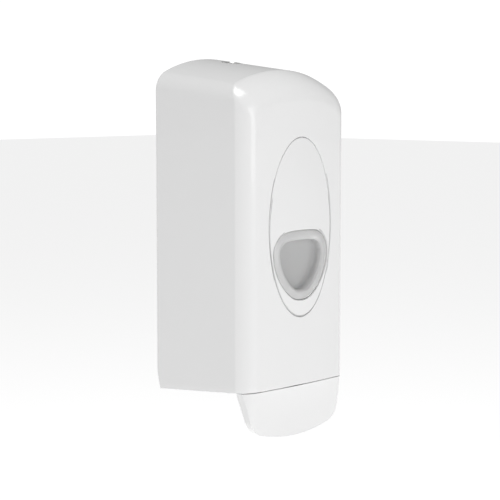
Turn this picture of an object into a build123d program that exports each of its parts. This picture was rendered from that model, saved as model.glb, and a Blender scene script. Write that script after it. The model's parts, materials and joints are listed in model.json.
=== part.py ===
"""Wall mounted soap dispenser: a back plate carries the reservoir and its pump, a cover hinges on the
back plate, and a push lever in the cover lifts the pump's nozzle.

Millimetres. +Z is up, the front faces -Y and the wall is the plane Y = 0. The origin is the centre of
the four wall screws, on the wall.
"""

import os
from math import hypot

from build123d import *

# housing: the form that the cover and the push lever share
WIDTH = 112.0
DEPTH = 95.0
APEX_Z = 130.0
TOP_R = 118.0
TOP_CORNER_R = 16.0
TOP_SLOPE = 0.118
FRONT_R = 450.0
FRONT_EDGE_R = 11.0
WALL = 2.5
FLOOR_Z = -165.0
WALL_GAP = 0.5

# seam between the cover and the lever, falling towards the wall
SEAM_Z = -109.0
SEAM_SLOPE = 0.08
SEAM_GAP = 0.7
HEEL_RELIEF = 3.0
HEEL_H = 13.0

# oval fascia panel
OVAL_A = 33.8
OVAL_B = 65.7
OVAL_Z = 7.0
OVAL_GAP = 0.25
PANEL_SEAT = 2.0
PANEL_PROUD = 1.0
PANEL_PLAN_R = 249.0
PANEL_VERTICAL_R = 2145.0
LEDGE_W = 3.0
LEDGE_BACK = 4.6

# shield-shaped sight window
WINDOW_RING = 7.2
PANE_T = 1.8
FLANGE_DEPTH = 0.6
WINDOW_BACK_Y = -86.6
PANEL_BACK = 4.0

# hinge between the back plate and the cover
HINGE_Y = -12.0
HINGE_Z = -108.0
HINGE_PIN_R = 1.5
HINGE_HEAD_R = 2.6
HINGE_EAR = (45.5, 49.5)
HINGE_BOSS = (50.5, 53.6)
HINGE_PIN = (44.5, 53.8)
HINGE_EAR_R = 4.5

# push lever and its pivot
LEVER_Y = -78.0
LEVER_Z = -100.0
LEVER_LOW_Z = -147.5
LEVER_CORNER_Z = -140.5
LEVER_CORNER_R = 9.0
LEVER_TAPER = 0.245
LEVER_STEP_IN = 1.8
LEVER_LEAN = 6.8
LEVER_BACK_Y = -79.5
LEVER_HUB_R = 5.0
LEVER_PIN_R = 2.0
LEVER_PIN_HALF = 22.0
ARM = (9.0, 13.0)
ARM_ROOT_Y = -93.0
PAD_R = 3.0
PAD_GAP = 0.35

# carrier behind the cover's front that holds the lever's pin
BRACKET_FACE_Y = -88.0
BRACKET_T = 2.5
BRACKET_HALF = 28.0
BRACKET_TOP_Z = -76.0
BRACKET_LOW_Z = -98.0
BRACKET_BOLT_X = 22.0
BRACKET_BOLT_Z = -87.0
CHEEK = (15.5, 18.5)
CLIP_X = 19.2
CLIP_T = 0.9

# pump
PUMP_Y = -47.0
COLLAR_Z = -103.15
COLLAR_T = 2.5
COLLAR_R = 15.0
STEM_R = 6.0
STEM_BORE_R = 3.0
STEM_TOP_Z = -74.0
NOZZLE_R = 6.5
NOZZLE_Z = -122.0
BORE_R = 8.0
SEAL_FIT = 0.06
PUMP_TOP_Z = -60.0
PUMP_LOW_Z = -93.0
SPRING_TOP_Z = -84.0
SPRING_R = 9.2
SPRING_WIRE_R = 0.6
SPRING_TURNS = 6

PUMP_R = 11.5
SKIRT_R = 12.6
NUT_R = 18.5

# reservoir
RES_HALF = 46.0
RES_BACK = -9.0
RES_FRONT = -81.0
RES_LOW = -70.0
RES_TOP = 89.0
RES_WALL = 1.8
NECK_R = 15.0
NECK_BORE_R = 12.0
NECK_H = 10.0
MOUTH_R = 17.0
MOUTH_H = 8.0
MOUTH_Y = -48.5

# back plate
PLATE_INSET = 4.2
PLATE_T = 3.0
PLATE_LOW_Z = -112.5
RIM_DEPTH = 7.0
SCREW_X = 38.0
SCREW_Z = 75.0
SCREW_HOLE_R = 2.6
RES_RIB = 5.0
RIB_MID_Z = 5.0
RIB_LENGTH = 140.0
LUG = (9.5, 14.5)
LUG_Z = 110.0
LUG_LIP_Y = -27.2
LUG_LIP_H = 8.0

# shelf under the reservoir
SHELF_Z = -70.1
SHELF_T = 3.0
SHELF_HALF = 40.0
SHELF_BACK = -4.0
SHELF_FRONT = -72.0
SLOT_R = 20.0
SHELF_BOLT_X = 25.0
SHELF_BOLT_Z = -86.0

# key lock in the cover's top
LOCK_Y = -24.0
LOCK_R = 4.5
LOCK_FIT = 0.05
HOUSING_R = 6.0
HOUSING_LENGTH = 9.2
LOCK_FLANGE_R = 7.6
LOCK_FLANGE_T = 0.9
LOCK_SINK = 1.0
BARREL_SINK = 0.35
LOCK_NUT = (-5.9, 2.8)
CAM_DEPTH = 11.4
CAM_T = 2.0
CAM_REACH = 16.0

os.makedirs("parts", exist_ok=True)


def front_y(x, inset=0.0):
    """Y of the front face at x, drawn in by inset."""
    r = FRONT_R - inset
    return -DEPTH + FRONT_R - (r * r - x * x) ** 0.5


def top_z(y):
    """Height of the cover's crown at y."""
    return APEX_Z + TOP_SLOPE * (y + WALL_GAP)


def housing_form(inset):
    """Solid of the housing's outside, drawn in by inset."""
    half = WIDTH / 2 - inset
    arc_r = TOP_R - inset
    apex = APEX_Z - inset
    shoulder = apex - arc_r + (arc_r**2 - half**2) ** 0.5
    with BuildPart() as form:
        with BuildSketch(Plane.XZ.offset(WALL_GAP)) as arch:
            with BuildLine():
                Polyline((-half, shoulder), (-half, FLOOR_Z), (half, FLOOR_Z), (half, shoulder))
                ThreePointArc((half, shoulder), (0, apex), (-half, shoulder))
            make_face()
            fillet(arch.vertices().sort_by(Axis.Y)[-2:], TOP_CORNER_R - inset)
        extrude(amount=DEPTH * 1.4, dir=(0, -1, -TOP_SLOPE))
        with BuildSketch(Plane.XY.offset(2 * FLOOR_Z)):
            with BuildLine():
                corner = front_y(half, inset)
                Polyline((-half, corner), (-half, 5), (half, 5), (half, corner))
                ThreePointArc((half, corner), (0, front_y(0, inset)), (-half, corner))
            make_face()
        extrude(amount=-4 * FLOOR_Z, mode=Mode.INTERSECT)
        front = form.faces().sort_by(Axis.Y)[0]
        rounded = front.edges().sort_by(Axis.Z)[1:]
        fillet(rounded, FRONT_EDGE_R - inset)
    return form.part


def plan_layer(near, far):
    """Solid that follows the front face between two depths behind it."""
    half = WIDTH / 2 - FRONT_EDGE_R
    with BuildPart() as layer:
        with BuildSketch(Plane.XY.offset(-120)):
            with BuildLine():
                near_y, far_y = front_y(half, near), front_y(half, far)
                ThreePointArc((-half, near_y), (0, front_y(0, near)), (half, near_y))
                Line((half, near_y), (half, far_y))
                ThreePointArc((half, far_y), (0, front_y(0, far)), (-half, far_y))
                Line((-half, far_y), (-half, near_y))
            make_face()
        extrude(amount=240)
    return layer.part


def oval_prism(grow, y_from, y_to):
    """Elliptical prism along Y around the fascia opening, grown by grow."""
    with BuildPart() as prism:
        with BuildSketch(Plane.XZ.offset(-y_from)):
            with Locations((0, OVAL_Z)):
                Ellipse(OVAL_A + grow, OVAL_B + grow)
        extrude(amount=y_from - y_to)
    return prism.part


def shield_prism(inset, y_from, y_to):
    """Prism along Y of the sight window's shield outline, drawn in by inset."""
    with BuildPart() as prism:
        with BuildSketch(Plane.XZ.offset(-y_from)):
            with BuildLine():
                ThreePointArc((-18.5, 3.6), (0, 4.9), (18.5, 3.6))
                TangentArc((18.5, 3.6), (29.4, -8.6), tangent=(1, -0.16))
                ThreePointArc((29.4, -8.6), (24.8, -28.6), (13.0, -41.2))
                ThreePointArc((13.0, -41.2), (0, -46.1), (-13.0, -41.2))
                ThreePointArc((-13.0, -41.2), (-24.8, -28.6), (-29.4, -8.6))
                TangentArc((-18.5, 3.6), (-29.4, -8.6), tangent=(-1, -0.16))
            make_face()
            if inset:
                offset(amount=-inset)
        extrude(amount=y_from - y_to)
    return prism.part


def cylinder_x(radius, x_from, x_to, y, z):
    """Cylinder along X."""
    with BuildPart() as rod:
        with BuildSketch(Plane.YZ.offset(x_from)):
            with Locations((y, z)):
                Circle(radius)
        extrude(amount=x_to - x_from)
    return rod.part


def tube_z(outer, inner, z_from, z_to, y=PUMP_Y):
    """Ring or, with no inner radius, disc along Z."""
    with BuildPart() as ring:
        with BuildSketch(Plane.XY.offset(z_from)):
            with Locations((0, y)):
                Circle(outer)
                if inner:
                    Circle(inner, mode=Mode.SUBTRACT)
        extrude(amount=z_to - z_from)
    return ring.part


def arch_sketch_prism(inset, z_low, y_from, y_to):
    """Prism along Y of the cover's rear outline drawn in by inset and cut off at z_low."""
    half = WIDTH / 2 - inset
    arc_r = TOP_R - inset
    shoulder = APEX_Z - TOP_R + (arc_r**2 - half**2) ** 0.5
    with BuildPart() as prism:
        with BuildSketch(Plane.XZ.offset(-y_from)) as arch:
            with BuildLine():
                Polyline((-half, shoulder), (-half, z_low), (half, z_low), (half, shoulder))
                ThreePointArc((half, shoulder), (0, APEX_Z - inset), (-half, shoulder))
            make_face()
            fillet(arch.vertices().sort_by(Axis.Y)[-2:], TOP_CORNER_R - inset)
        extrude(amount=y_from - y_to)
    return prism.part


def tank_form(inset):
    """Rounded box of the reservoir, drawn in by inset."""
    with BuildPart() as tank:
        with BuildSketch(Plane.XY.offset(RES_LOW + inset)):
            with Locations((0, (RES_BACK + RES_FRONT) / 2)):
                RectangleRounded(2 * (RES_HALF - inset), RES_BACK - RES_FRONT - 2 * inset, 12 - inset)
        extrude(amount=RES_TOP - RES_LOW - 2 * inset)
        fillet(tank.faces().sort_by(Axis.Z)[-1].edges(), 9 - inset)
        fillet(tank.faces().sort_by(Axis.Z)[0].edges(), 5 - inset)
    return tank.part


outer_form = housing_form(0)
inner_form = housing_form(WALL)
seam = Plane(origin=(0, -DEPTH, SEAM_Z), x_dir=(1, 0, 0), z_dir=(0, SEAM_SLOPE, 1))
lock_tilt = hypot(1, TOP_SLOPE)
lock_plane = Plane(
    origin=(0, LOCK_Y, top_z(LOCK_Y)), x_dir=(1, 0, 0), z_dir=(0, -TOP_SLOPE / lock_tilt, 1 / lock_tilt)
)
# ---------------------------------------------------------------- cover body
with BuildPart() as front_cover:
    add(outer_form)
    add(inner_form, mode=Mode.SUBTRACT)
    split(bisect_by=seam, keep=Keep.TOP)
    # heel: the lower rear corners are drawn back so that they clear the wall as the cover swings
    with BuildSketch(Plane.YZ.offset(-WIDTH)):
        heel_z = SEAM_Z - SEAM_SLOPE * DEPTH - 1
        Polygon(
            (-WALL_GAP, heel_z + HEEL_H + 1),
            (1, heel_z + HEEL_H + 1),
            (1, heel_z),
            (-HEEL_RELIEF - 0.4, heel_z),
            align=None,
        )
    extrude(amount=2 * WIDTH, mode=Mode.SUBTRACT)
    # oval opening with a ledge behind it for the fascia panel
    add(oval_prism(LEDGE_W, -80, -94.0).intersect(plan_layer(WALL - 0.1, LEDGE_BACK)))
    add(oval_prism(-LEDGE_W, -80, -100), mode=Mode.SUBTRACT)
    add(oval_prism(OVAL_GAP, -80, -100).intersect(plan_layer(-3, PANEL_SEAT + 0.05)), mode=Mode.SUBTRACT)
    # hinge bosses on both side walls
    for side in (-1, 1):
        add(cylinder_x(HINGE_EAR_R, side * HINGE_BOSS[0], side * HINGE_BOSS[1], HINGE_Y, HINGE_Z))
        bore = (side * (HINGE_BOSS[0] - 1), side * (HINGE_PIN[1] + 0.2))
        add(cylinder_x(HINGE_PIN_R + 0.06, *bore, HINGE_Y, HINGE_Z), mode=Mode.SUBTRACT)
    # screw bosses for the lever bracket
    with BuildSketch(Plane.XZ.offset(-BRACKET_FACE_Y)):
        with Locations((-BRACKET_BOLT_X, BRACKET_BOLT_Z), (BRACKET_BOLT_X, BRACKET_BOLT_Z)):
            Circle(4.0)
    extrude(amount=DEPTH - WALL + BRACKET_FACE_Y)
    with BuildSketch(Plane.XZ.offset(-BRACKET_FACE_Y)):
        with Locations((-BRACKET_BOLT_X, BRACKET_BOLT_Z), (BRACKET_BOLT_X, BRACKET_BOLT_Z)):
            Circle(1.6)
    extrude(amount=5.2, mode=Mode.SUBTRACT)
    # hole for the lock, with a counterbore that takes its flange flush
    with BuildSketch(lock_plane.offset(3)):
        Circle(HOUSING_R + 0.1)
    extrude(amount=-10, mode=Mode.SUBTRACT)
    with BuildSketch(lock_plane.offset(3)):
        Circle(LOCK_FLANGE_R + 0.12)
    extrude(amount=-3 - LOCK_SINK, mode=Mode.SUBTRACT)

with BuildPart() as fascia_panel:
    # barrel whose belly is the domed face, trimmed to the oval
    axis_y = -DEPTH - PANEL_PROUD + PANEL_PLAN_R
    belly = axis_y - PANEL_PLAN_R
    sag = PANEL_VERTICAL_R - (PANEL_VERTICAL_R**2 - 80**2) ** 0.5
    low, high = OVAL_Z - 80, OVAL_Z + 80
    with BuildSketch(Plane.YZ):
        with BuildLine():
            ThreePointArc((belly + sag, low), (belly, OVAL_Z), (belly + sag, high))
            Polyline((belly + sag, high), (axis_y, high), (axis_y, low), (belly + sag, low))
        make_face()
    revolve(axis=Axis((0, axis_y, 0), (0, 0, 1)), revolution_arc=360)
    barrel = fascia_panel.part
    add(oval_prism(-OVAL_GAP, -80, -100), mode=Mode.INTERSECT)
    add(plan_layer(PANEL_SEAT, 30), mode=Mode.SUBTRACT)
    # thicker middle, which locates inside the ledge
    add(oval_prism(-LEDGE_W - 0.3, -80, -96).intersect(plan_layer(PANEL_SEAT - 0.2, PANEL_BACK)))
    add(shield_prism(-0.15, -80, -100).intersect(plan_layer(-5, FLANGE_DEPTH)), mode=Mode.SUBTRACT)
    add(shield_prism(WINDOW_RING - PANE_T - 0.2, -80, -100), mode=Mode.SUBTRACT)

with BuildPart() as sight_window:
    # flange flush with the panel, and a tray that sets the pane back
    add(shield_prism(0, -80, -100).intersect(plan_layer(-5, FLANGE_DEPTH - 0.05)))
    add(shield_prism(WINDOW_RING - PANE_T, WINDOW_BACK_Y, -94))
    add(barrel, mode=Mode.INTERSECT)
    add(shield_prism(WINDOW_RING, WINDOW_BACK_Y - PANE_T, -100), mode=Mode.SUBTRACT)

with BuildPart() as lever_bracket:
    # plate behind the cover's front, with two cheeks for the lever's pin
    with BuildSketch(Plane.XZ.offset(-BRACKET_FACE_Y - BRACKET_T)):
        with Locations((0, (BRACKET_TOP_Z + BRACKET_LOW_Z) / 2)):
            RectangleRounded(2 * BRACKET_HALF, BRACKET_TOP_Z - BRACKET_LOW_Z, 3)
    extrude(amount=BRACKET_T)
    for side in (-1, 1):
        with BuildSketch(Plane.YZ.offset(min(side * CHEEK[0], side * CHEEK[1]))):
            with BuildLine():
                Polyline(
                    (BRACKET_FACE_Y + 0.5, BRACKET_LOW_Z + 0.5),
                    (LEVER_Y - 5.5, LEVER_Z),
                    (LEVER_Y, LEVER_Z - 5.5),
                    (LEVER_Y + 5.5, LEVER_Z),
                    (LEVER_Y + 5.5, LEVER_Z + 4),
                    (BRACKET_FACE_Y + 0.5, BRACKET_TOP_Z - 2),
                    close=True,
                )
            make_face()
        extrude(amount=CHEEK[1] - CHEEK[0])
        add(cylinder_x(5.5, min(side * CHEEK[0], side * CHEEK[1]), max(side * CHEEK[0], side * CHEEK[1]),
                       LEVER_Y, LEVER_Z))
    add(cylinder_x(LEVER_PIN_R + 0.02, -30, 30, LEVER_Y, LEVER_Z), mode=Mode.SUBTRACT)
    with BuildSketch(Plane.XZ.offset(-BRACKET_FACE_Y + 1)):
        with Locations((-BRACKET_BOLT_X, BRACKET_BOLT_Z), (BRACKET_BOLT_X, BRACKET_BOLT_Z)):
            Circle(1.7)
    extrude(amount=-5, mode=Mode.SUBTRACT)

with BuildPart() as bracket_screws:
    for side in (-1, 1):
        head_y = BRACKET_FACE_Y + BRACKET_T
        with BuildSketch(Plane.XZ.offset(-head_y - 2.2)):
            with Locations((side * BRACKET_BOLT_X, BRACKET_BOLT_Z)):
                Circle(3.2)
        extrude(amount=2.2)
        with BuildSketch(Plane.XZ.offset(-head_y)):
            with Locations((side * BRACKET_BOLT_X, BRACKET_BOLT_Z)):
                Circle(1.5)
        extrude(amount=7.2)
        with BuildSketch(Plane.XZ.offset(-head_y - 2.2)):
            with Locations((side * BRACKET_BOLT_X, BRACKET_BOLT_Z)):
                Rectangle(3.4, 0.8)
                Rectangle(0.8, 3.4)
        extrude(amount=1.3, mode=Mode.SUBTRACT)
    chamfer(bracket_screws.edges().group_by(Axis.Y)[-1].filter_by(GeomType.CIRCLE), 0.4)

with BuildPart() as lever_pin:
    add(cylinder_x(LEVER_PIN_R, -LEVER_PIN_HALF, LEVER_PIN_HALF, LEVER_Y, LEVER_Z))
    chamfer(lever_pin.edges().filter_by(GeomType.CIRCLE), 0.4)
    for side in (-1, 1):
        groove = sorted((side * CLIP_X, side * (CLIP_X + CLIP_T)))
        add(cylinder_x(LEVER_PIN_R + 1, *groove, LEVER_Y, LEVER_Z), mode=Mode.SUBTRACT)
        add(cylinder_x(LEVER_PIN_R - 0.5, *groove, LEVER_Y, LEVER_Z))

with BuildPart() as pin_clips:
    # open E-clips in the pin's grooves
    for side in (-1, 1):
        near, far = sorted((side * (CLIP_X + 0.05), side * (CLIP_X + CLIP_T - 0.05)))
        with BuildSketch(Plane.YZ.offset(near)):
            with Locations((LEVER_Y, LEVER_Z)):
                Circle(4.0)
                Circle(LEVER_PIN_R - 0.48, mode=Mode.SUBTRACT)
            with Locations((LEVER_Y, LEVER_Z - 3)):
                Rectangle(2.4, 5, mode=Mode.SUBTRACT)
        extrude(amount=far - near)

# ---------------------------------------------------------------- push lever
def lever_outline(inset, y_from, y_to):
    """Prism along Y of the lever's tapering front view, drawn in by inset."""
    top = SEAM_Z + 6
    side = WIDTH / 2 - LEVER_STEP_IN - inset * hypot(1, LEVER_TAPER)
    wide = side - LEVER_TAPER * (SEAM_Z - top)
    corner_z = LEVER_CORNER_Z + inset
    narrow = side - LEVER_TAPER * (SEAM_Z - corner_z)
    with BuildPart() as prism:
        with BuildSketch(Plane.XZ.offset(-y_from)) as view:
            with BuildLine():
                Polyline((-narrow, corner_z), (-wide, top), (wide, top), (narrow, corner_z))
                ThreePointArc((narrow, corner_z), (0, LEVER_LOW_Z + inset), (-narrow, corner_z))
            make_face()
            fillet(view.vertices().sort_by(Axis.Y)[:2], LEVER_CORNER_R - inset)
        extrude(amount=y_from - y_to)
    return prism.part


with BuildPart() as push_lever:
    # the face leans back below the seam
    lean_axis = Axis((0, -DEPTH, SEAM_Z), (1, 0, 0))
    leaning_inside = inner_form.rotate(lean_axis, LEVER_LEAN)
    add(outer_form.rotate(lean_axis, LEVER_LEAN))
    split(bisect_by=seam.offset(-SEAM_GAP), keep=Keep.BOTTOM)
    add(lever_outline(0, LEVER_BACK_Y, -DEPTH - 5), mode=Mode.INTERSECT)
    add(lever_outline(WALL, LEVER_BACK_Y + 1, -DEPTH - 5).intersect(leaning_inside), mode=Mode.SUBTRACT)
    for side in (-1, 1):
        # arm from the face to the pivot and back under the pump's collar
        near, far = sorted((side * ARM[0], side * ARM[1]))
        with BuildSketch(Plane.YZ.offset(near)):
            with BuildLine():
                Polyline(
                    (ARM_ROOT_Y + 2.5, -136.0),
                    (ARM_ROOT_Y, -115.0),
                    (LEVER_Y - 4.2, LEVER_Z - 4.5),
                    (LEVER_Y + 3.0, LEVER_Z - 3.5),
                    (PUMP_Y - 6.0, -105.5),
                    (PUMP_Y, COLLAR_Z - PAD_GAP - 2 * PAD_R),
                    (-68.0, -111.0),
                    (-82.0, -124.0),
                    close=True,
                )
            make_face()
        extrude(amount=far - near)
        add(cylinder_x(LEVER_HUB_R, near, far, LEVER_Y, LEVER_Z))
        add(cylinder_x(PAD_R, near, far, PUMP_Y, COLLAR_Z - PAD_GAP - PAD_R))
    # web that ties the two arms together in front of the nozzle
    with BuildSketch(Plane.YZ.offset(-ARM[0] - 0.5)):
        with BuildLine():
            Polyline(
                (ARM_ROOT_Y + 1.5, -128.0), (ARM_ROOT_Y, -116.0), (-80.5, -106.5), (-76.5, -109.5), close=True
            )
        make_face()
    extrude(amount=2 * ARM[0] + 1)
    add(cylinder_x(LEVER_PIN_R + 0.06, -30, 30, LEVER_Y, LEVER_Z), mode=Mode.SUBTRACT)

# ---------------------------------------------------------------- lock
with BuildPart() as lock_housing:
    with BuildSketch(lock_plane.offset(-HOUSING_LENGTH)):
        Circle(HOUSING_R)
        Circle(LOCK_R + LOCK_FIT, mode=Mode.SUBTRACT)
    extrude(amount=HOUSING_LENGTH - LOCK_SINK + LOCK_FLANGE_T / 2)
    with BuildSketch(lock_plane.offset(0.05 - LOCK_SINK)):
        Circle(LOCK_FLANGE_R)
        Circle(LOCK_R + LOCK_FIT, mode=Mode.SUBTRACT)
    extrude(amount=LOCK_FLANGE_T)
    chamfer(lock_housing.edges().filter_by(GeomType.CIRCLE).sort_by(Axis.Z)[-1], 0.25)

with BuildPart() as lock_nut:
    with BuildSketch(lock_plane.offset(LOCK_NUT[0])):
        RegularPolygon(8.6, 6)
        Circle(HOUSING_R + 0.02, mode=Mode.SUBTRACT)
    extrude(amount=LOCK_NUT[1])

with BuildPart() as lock_barrel:
    with BuildSketch(lock_plane.offset(-CAM_DEPTH + 0.05)):
        Circle(LOCK_R)
    extrude(amount=CAM_DEPTH - BARREL_SINK)
    with BuildSketch(lock_plane.offset(0.6)):
        Rectangle(1.2, 5.2)
    extrude(amount=-6, mode=Mode.SUBTRACT)
    with BuildSketch(lock_plane.offset(-CAM_DEPTH)):
        Circle(1.3)
    extrude(amount=6, mode=Mode.SUBTRACT)

with BuildPart() as lock_cam:
    with BuildSketch(lock_plane.offset(-CAM_DEPTH - CAM_T)):
        with Locations((0, (CAM_REACH - 5) / 2)):
            RectangleRounded(8, CAM_REACH + 5, 1.5)
        Circle(1.4, mode=Mode.SUBTRACT)
    extrude(amount=CAM_T)

with BuildPart() as cam_screw:
    with BuildSketch(lock_plane.offset(-CAM_DEPTH - CAM_T - 2.05)):
        Circle(3.0)
    extrude(amount=2)
    with BuildSketch(lock_plane.offset(-CAM_DEPTH - CAM_T - 0.1)):
        Circle(1.25)
    extrude(amount=6.5)
    with BuildSketch(lock_plane.offset(-CAM_DEPTH - CAM_T - 2.05)):
        Rectangle(3.2, 0.8)
        Rectangle(0.8, 3.2)
    extrude(amount=1.1, mode=Mode.SUBTRACT)

# ---------------------------------------------------------------- back body
with BuildPart() as back_plate:
    add(arch_sketch_prism(PLATE_INSET, PLATE_LOW_Z, 0, -RIM_DEPTH))
    add(arch_sketch_prism(PLATE_INSET + 2, PLATE_LOW_Z + 2, -PLATE_T, -RIM_DEPTH - 1), mode=Mode.SUBTRACT)
    # vertical ribs beside the reservoir's back
    with BuildSketch(Plane.XZ.offset(PLATE_T - 0.2)):
        with Locations((0, RIB_MID_Z)):
            with GridLocations(28, 0, 3, 1):
                Rectangle(2, RIB_LENGTH)
    extrude(amount=RES_RIB)
    # screw holes to the wall, each with a raised pad
    with BuildSketch(Plane.XZ.offset(PLATE_T - 0.2)):
        with GridLocations(2 * SCREW_X, 2 * SCREW_Z, 2, 2):
            Circle(7)
    extrude(amount=0.8)
    with BuildSketch(Plane.XZ):
        with GridLocations(2 * SCREW_X, 2 * SCREW_Z, 2, 2):
            Circle(SCREW_HOLE_R)
    extrude(amount=6, mode=Mode.SUBTRACT)
    # bosses for the shelf's screws
    with BuildSketch(Plane.XZ.offset(PLATE_T - 0.2)):
        with Locations((-SHELF_BOLT_X, SHELF_BOLT_Z), (SHELF_BOLT_X, SHELF_BOLT_Z)):
            Circle(5)
    extrude(amount=-SHELF_BACK - PLATE_T + 0.15)
    with BuildSketch(Plane.XZ.offset(1.6)):
        with Locations((-SHELF_BOLT_X, SHELF_BOLT_Z), (SHELF_BOLT_X, SHELF_BOLT_Z)):
            Circle(1.65)
    extrude(amount=4, mode=Mode.SUBTRACT)
    # hinge ears
    for side in (-1, 1):
        near, far = sorted((side * HINGE_EAR[0], side * HINGE_EAR[1]))
        with BuildSketch(Plane.YZ.offset(near)):
            Polygon(
                (-1.0, HINGE_Z + 10),
                (-1.0, HINGE_Z - HINGE_EAR_R),
                (HINGE_Y, HINGE_Z - HINGE_EAR_R),
                (HINGE_Y - 3, HINGE_Z + 3.4),
                align=None,
            )
        extrude(amount=far - near)
        add(cylinder_x(HINGE_EAR_R, near, far, HINGE_Y, HINGE_Z))
    add(cylinder_x(HINGE_PIN_R + 0.01, -56, 56, HINGE_Y, HINGE_Z), mode=Mode.SUBTRACT)
    # lug that the lock's cam turns in behind
    with BuildSketch(Plane.YZ.offset(LUG[0])):
        Polygon(
            (-1.0, LUG_Z), (-1.0, LUG_Z - 9), (-5, LUG_Z - 9), (LUG_LIP_Y - 2, LUG_Z - 2.4),
            (LUG_LIP_Y - 2, LUG_Z + LUG_LIP_H), (LUG_LIP_Y, LUG_Z + LUG_LIP_H), (LUG_LIP_Y, LUG_Z),
            align=None,
        )
    extrude(amount=LUG[1] - LUG[0])

with BuildPart() as hinge_pins:
    for side in (-1, 1):
        add(cylinder_x(HINGE_PIN_R, *sorted((side * HINGE_PIN[0], side * HINGE_PIN[1])), HINGE_Y, HINGE_Z))
        head = sorted((side * (HINGE_PIN[0] - 1), side * (HINGE_PIN[0] + 0.9)))
        add(cylinder_x(HINGE_HEAD_R, *head, HINGE_Y, HINGE_Z))

with BuildPart() as pump_shelf:
    # shelf with an open slot for the pump's neck, and a flange down the back plate
    with BuildSketch(Plane.XY.offset(SHELF_Z - SHELF_T)):
        with Locations((0, (SHELF_BACK + SHELF_FRONT) / 2)):
            RectangleRounded(2 * SHELF_HALF, SHELF_BACK - SHELF_FRONT, 3)
        with Locations((0, PUMP_Y)):
            Circle(SLOT_R, mode=Mode.SUBTRACT)
        with Locations((0, PUMP_Y - 25)):
            Rectangle(2 * SLOT_R, 50, mode=Mode.SUBTRACT)
    extrude(amount=SHELF_T)
    with BuildSketch(Plane.XZ.offset(-SHELF_BACK)):
        with Locations((0, SHELF_Z - 13)):
            RectangleRounded(2 * SHELF_HALF, 26, 3)
    extrude(amount=2.5)
    for side in (-1, 1):
        with BuildSketch(Plane.YZ.offset(min(side * (SHELF_HALF - 2.5), side * SHELF_HALF))):
            Polygon(
                (SHELF_BACK - 0.5, SHELF_Z - 0.5),
                (SHELF_FRONT + 6, SHELF_Z - 0.5),
                (SHELF_BACK - 2, SHELF_Z - 24),
                (SHELF_BACK - 0.5, SHELF_Z - 24),
                align=None,
            )
        extrude(amount=2.5)
    with BuildSketch(Plane.XZ.offset(-SHELF_BACK - 1)):
        with GridLocations(2 * SHELF_BOLT_X, 0, 2, 1):
            with Locations((0, SHELF_BOLT_Z)):
                Circle(1.8)
    extrude(amount=6, mode=Mode.SUBTRACT)

with BuildPart() as shelf_screws:
    head_y = SHELF_BACK - 2.5
    for side in (-1, 1):
        with BuildSketch(Plane.XZ.offset(-head_y)):
            with Locations((side * SHELF_BOLT_X, SHELF_BOLT_Z)):
                Circle(3.4)
        extrude(amount=2.2)
        with BuildSketch(Plane.XZ.offset(-head_y)):
            with Locations((side * SHELF_BOLT_X, SHELF_BOLT_Z)):
                Circle(1.6)
        extrude(amount=-4.6)
        with BuildSketch(Plane.XZ.offset(-head_y + 2.2)):
            with Locations((side * SHELF_BOLT_X, SHELF_BOLT_Z)):
                Rectangle(3.6, 0.8)
                Rectangle(0.8, 3.6)
        extrude(amount=-1.3, mode=Mode.SUBTRACT)

with BuildPart() as reservoir:
    add(tank_form(0))
    add(tube_z(MOUTH_R, None, RES_TOP - 4, RES_TOP + MOUTH_H, MOUTH_Y))
    add(tube_z(NECK_R, None, RES_LOW - NECK_H, RES_LOW + 4))
    add(tank_form(RES_WALL), mode=Mode.SUBTRACT)
    add(tube_z(MOUTH_R - 2.5, None, RES_TOP - 6, RES_TOP + MOUTH_H + 1, MOUTH_Y), mode=Mode.SUBTRACT)
    add(tube_z(NECK_BORE_R, None, RES_LOW - NECK_H - 1, RES_LOW + 5), mode=Mode.SUBTRACT)

with BuildPart() as lid_seal:
    add(tube_z(MOUTH_R - 0.1, MOUTH_R - 2.4, RES_TOP + MOUTH_H + 0.05, RES_TOP + MOUTH_H + 1.0, MOUTH_Y))

with BuildPart() as reservoir_lid:
    lid_top = RES_TOP + MOUTH_H + 3
    add(tube_z(MOUTH_R + 2, None, lid_top - 8, lid_top, MOUTH_Y))
    fillet(reservoir_lid.faces().sort_by(Axis.Z)[-1].edges(), 1.2)
    add(tube_z(MOUTH_R + 0.1, None, lid_top - 9, lid_top - 1.9, MOUTH_Y), mode=Mode.SUBTRACT)
    with BuildSketch(Plane.XY.offset(lid_top - 7)):
        with Locations((0, MOUTH_Y)):
            with PolarLocations(MOUTH_R + 2, 24):
                Rectangle(0.9, 1.6)
    extrude(amount=5, mode=Mode.SUBTRACT)

with BuildPart() as outlet_gasket:
    add(tube_z(NECK_R - 0.3, PUMP_R + 0.2, RES_LOW - NECK_H - 1.0, RES_LOW - NECK_H - 0.05))

with BuildPart() as pump_body:
    flange_z = RES_LOW - NECK_H - 1.05
    add(tube_z(PUMP_R, None, flange_z - 1, PUMP_TOP_Z))
    add(tube_z(NECK_R - 0.2, None, flange_z - 2.2, flange_z))
    add(tube_z(SKIRT_R, None, PUMP_LOW_Z, flange_z - 1))
    add(tube_z(BORE_R, None, PUMP_LOW_Z - 1, PUMP_TOP_Z - 1.6), mode=Mode.SUBTRACT)
    add(tube_z(SPRING_R + 1.1, None, PUMP_LOW_Z - 1, SPRING_TOP_Z), mode=Mode.SUBTRACT)
    # inlet ports round the valve's stalk
    with BuildSketch(Plane.XY.offset(PUMP_TOP_Z - 3)):
        with Locations((0, PUMP_Y)):
            Circle(1.3)
            with PolarLocations(3.4, 6):
                Circle(0.9)
    extrude(amount=5, mode=Mode.SUBTRACT)

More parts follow.
